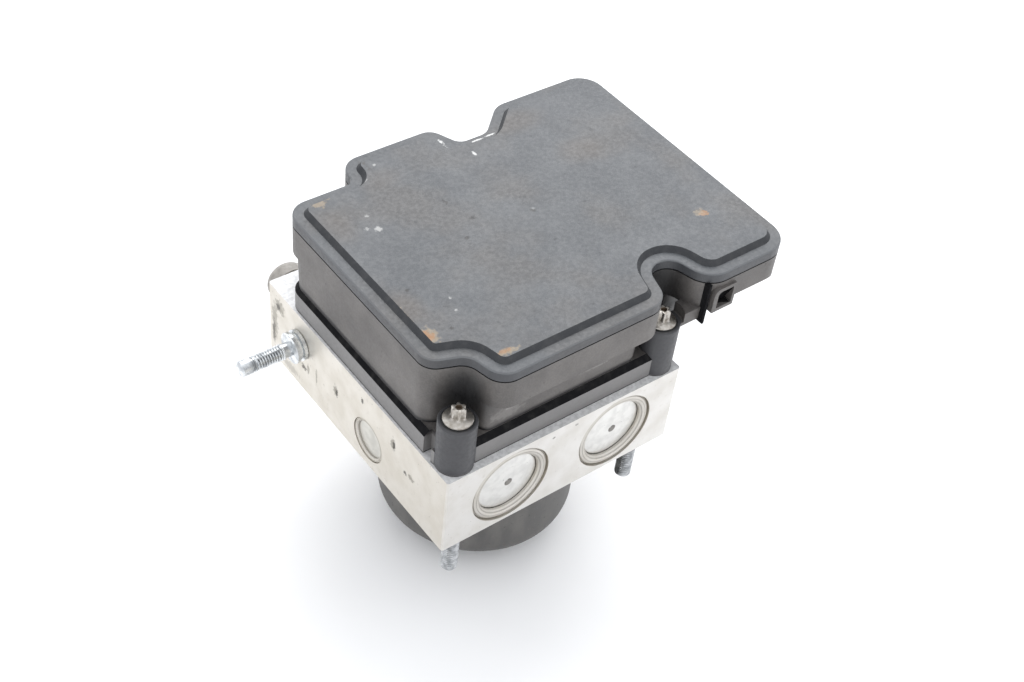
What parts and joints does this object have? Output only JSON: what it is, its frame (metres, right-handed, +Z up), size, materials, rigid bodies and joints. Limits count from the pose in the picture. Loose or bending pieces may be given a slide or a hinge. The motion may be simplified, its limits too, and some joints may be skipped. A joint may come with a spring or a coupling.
{
  "type": "anti-lock brake hydraulic unit",
  "caption": "Anti-lock brake unit: drilled valve block with pump motor below, valves and coils inside, moulded control unit with wide lid on top.",
  "frame": {"origin": "on the motor axis, at the motor's end face, which the unit stands on", "axes": "+Z up, along the motor axis from the motor to the lid; +X towards the side where the control unit overhangs; +Y towards the outlet ports"},
  "size_m": [0.1653, 0.1273, 0.1228],
  "materials": {
    "block_metal": "machined",
    "board_green": "lacquered",
    "bright_steel": "ground",
    "cap_metal": "turned",
    "carbon": "matte",
    "chip_black": "matte",
    "coil_plastic": "moulded",
    "copper": "enamelled",
    "cover_plastic": "moulded",
    "ferrite": "sintered",
    "housing_plastic": "moulded",
    "motor_steel": "satin black",
    "pin_brass": "tinned",
    "plug_plastic": "moulded",
    "screw_steel": "dull plated",
    "seal_rubber": "matte",
    "zinc_steel": "zinc plated"
  },
  "bodies": {
    "unit": {"valve_block": "block_metal", "motor_can": "motor_steel", "bearing_holder": "bright_steel", "ball_bearings": "bright_steel", "magnets": "ferrite", "brush_plate": "coil_plastic", "brushes": "carbon", "pump_element_left": "cap_metal", "pump_element_right": "cap_metal", "pump_spring_left": "bright_steel", "pump_spring_right": "bright_steel", "accumulator_cap_left": "cap_metal", "accumulator_cap_right": "cap_metal", "accumulator_spring_left": "bright_steel", "accumulator_spring_right": "bright_steel", "inlet_valves": "bright_steel", "outlet_valves": "bright_steel", "switching_valves": "bright_steel", "suction_valves": "bright_steel", "valve_coils": "coil_plastic", "pressure_sensor": "bright_steel", "ecu_housing": "housing_plastic", "ecu_cover": "cover_plastic", "ecu_seal": "seal_rubber", "circuit_board": "board_green", "board_parts": "chip_black", "connector_pins": "pin_brass", "pin_carrier": "coil_plastic", "ecu_screws": "screw_steel", "base_studs": "zinc_steel", "side_stud": "zinc_steel", "port_plug": "plug_plastic"},
    "rotor": {"motor_shaft": "bright_steel", "needle_ring": "bright_steel", "armature": "bright_steel", "windings": "copper", "commutator": "copper"},
    "pump_piston_left": {"pump_piston_left": "bright_steel"},
    "pump_piston_right": {"pump_piston_right": "bright_steel"},
    "accumulator_left": {"accumulator_piston_left": "block_metal", "accumulator_seal_left": "seal_rubber"},
    "accumulator_right": {"accumulator_piston_right": "block_metal", "accumulator_seal_right": "seal_rubber"}
  },
  "joints": [
    {"name": "rotor_spin", "type": "hinge", "parent": "unit", "child": "rotor", "pos_m": [0, 0, 0.025], "axis": [0, 0, 1], "continuous": true},
    {"name": "pump_slide_left", "type": "slide", "parent": "unit", "child": "pump_piston_left", "axis": [1, 0, 0], "range_m": [-0.00075, 0.00075]},
    {"name": "pump_slide_right", "type": "slide", "parent": "unit", "child": "pump_piston_right", "axis": [1, 0, 0], "range_m": [-0.00075, 0.00075]},
    {"name": "accumulator_slide_left", "type": "slide", "parent": "unit", "child": "accumulator_left", "axis": [0, -1, 0], "range_m": [0, 0.006], "deforming": ["accumulator_spring_left"]},
    {"name": "accumulator_slide_right", "type": "slide", "parent": "unit", "child": "accumulator_right", "axis": [0, -1, 0], "range_m": [0, 0.006], "deforming": ["accumulator_spring_right"]}
  ],
  "couplings": [
    {"joint": "pump_slide_right", "follows": "pump_slide_left", "ratio": 1}
  ]
}
